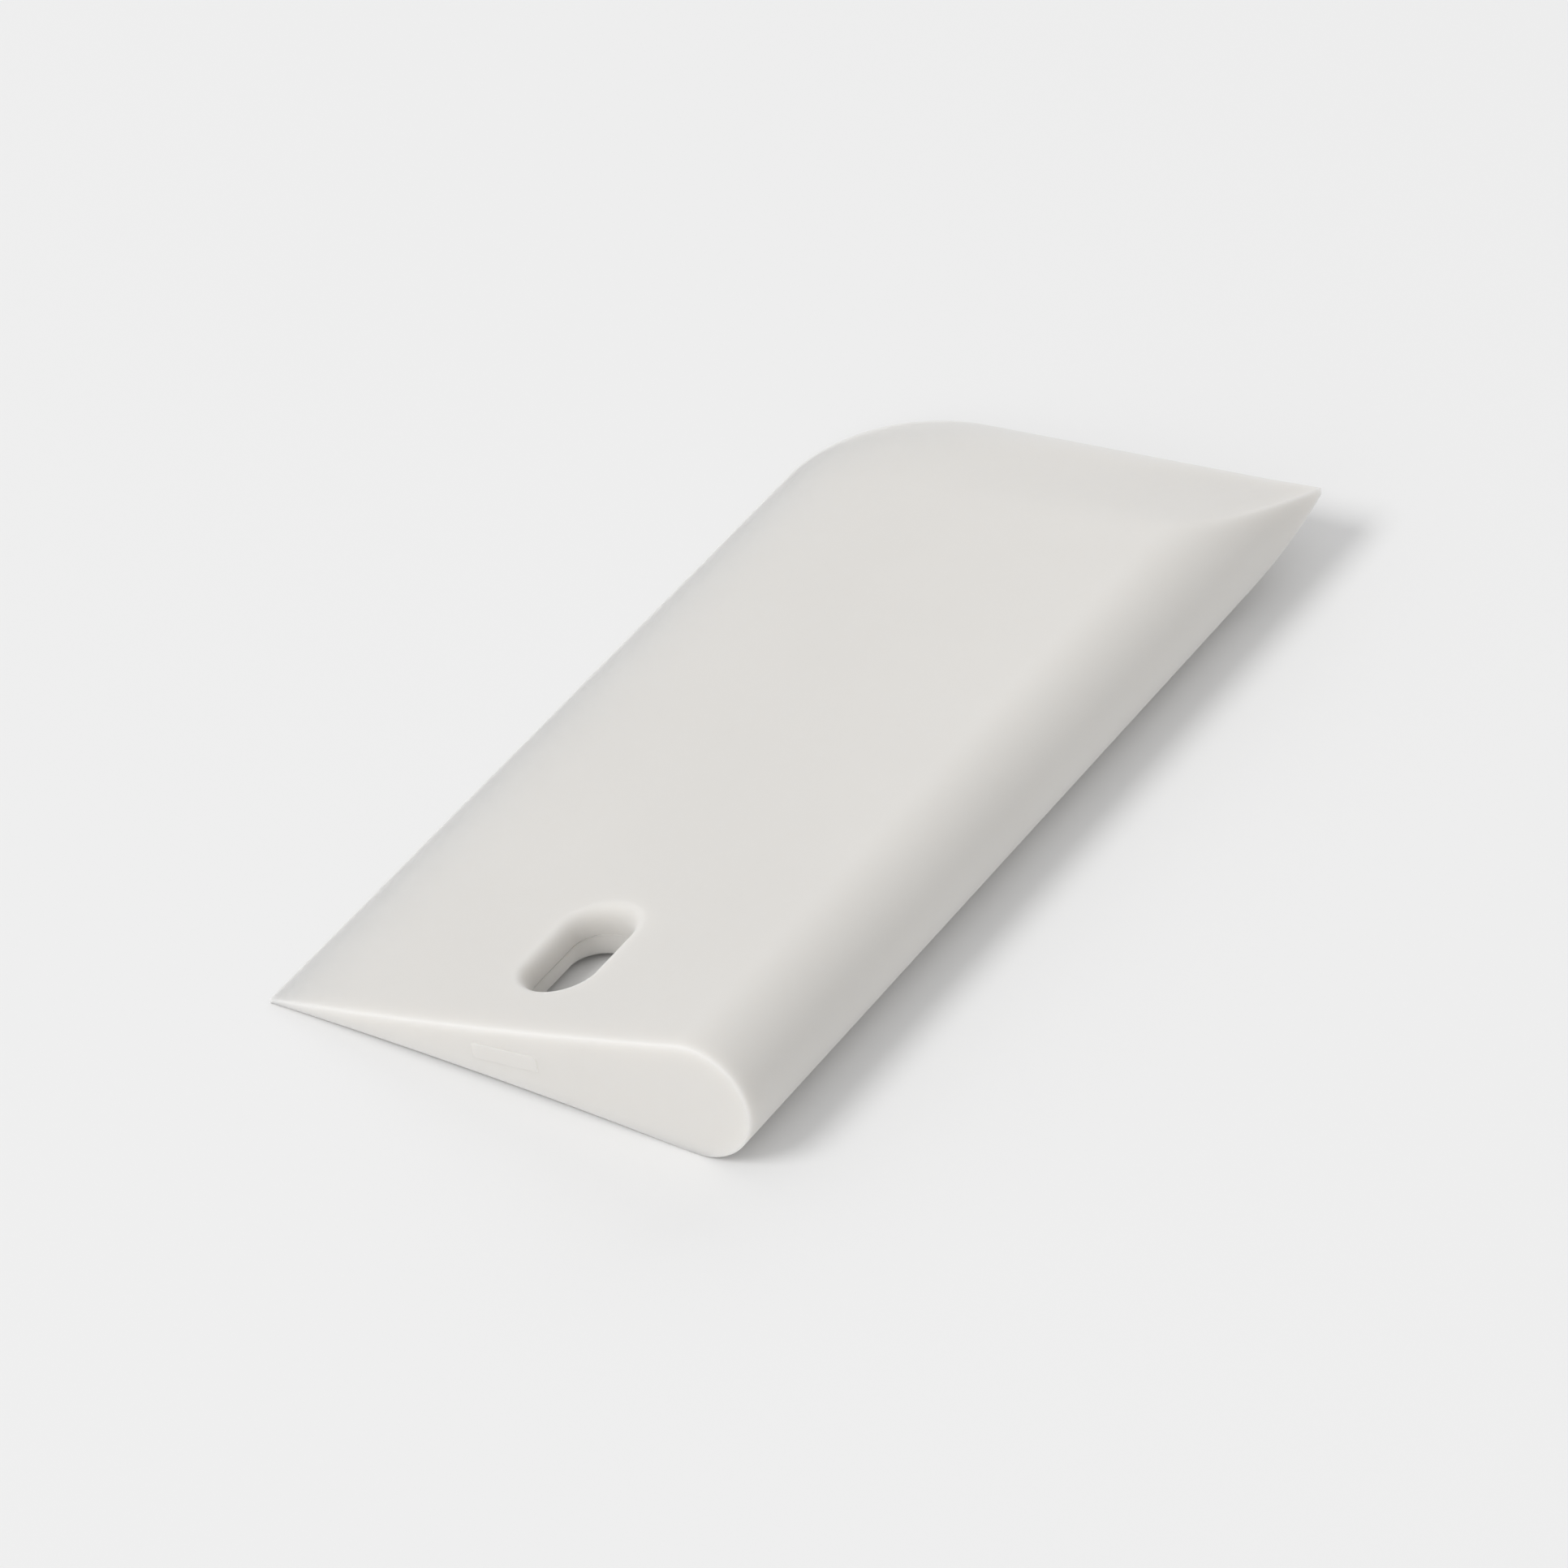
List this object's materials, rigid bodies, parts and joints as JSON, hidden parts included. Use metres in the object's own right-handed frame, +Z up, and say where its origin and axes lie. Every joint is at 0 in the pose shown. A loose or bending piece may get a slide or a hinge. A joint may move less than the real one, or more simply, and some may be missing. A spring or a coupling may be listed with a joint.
{
  "type": "bench scraper",
  "caption": "Silicone-covered bench scraper with a teardrop section: thin long edge, round grip spine, bevelled end with a rounded corner, and a hanging slot near the square end.",
  "frame": {"origin": "under the middle of the scraper's box, on the worktop it lies on", "axes": "+X along the length towards the bevelled end, +Y towards the long thin edge, +Z up; the scraper rests on its thin edge and its round spine"},
  "size_m": [0.1562, 0.0746, 0.0175],
  "materials": {
    "silicone": "matt warm light grey moulded silicone",
    "nylon": "natural glass-filled nylon, hidden inside"
  },
  "bodies": {
    "root": {"silicone_skin": "silicone", "nylon_core": "nylon"}
  },
  "joints": []
}
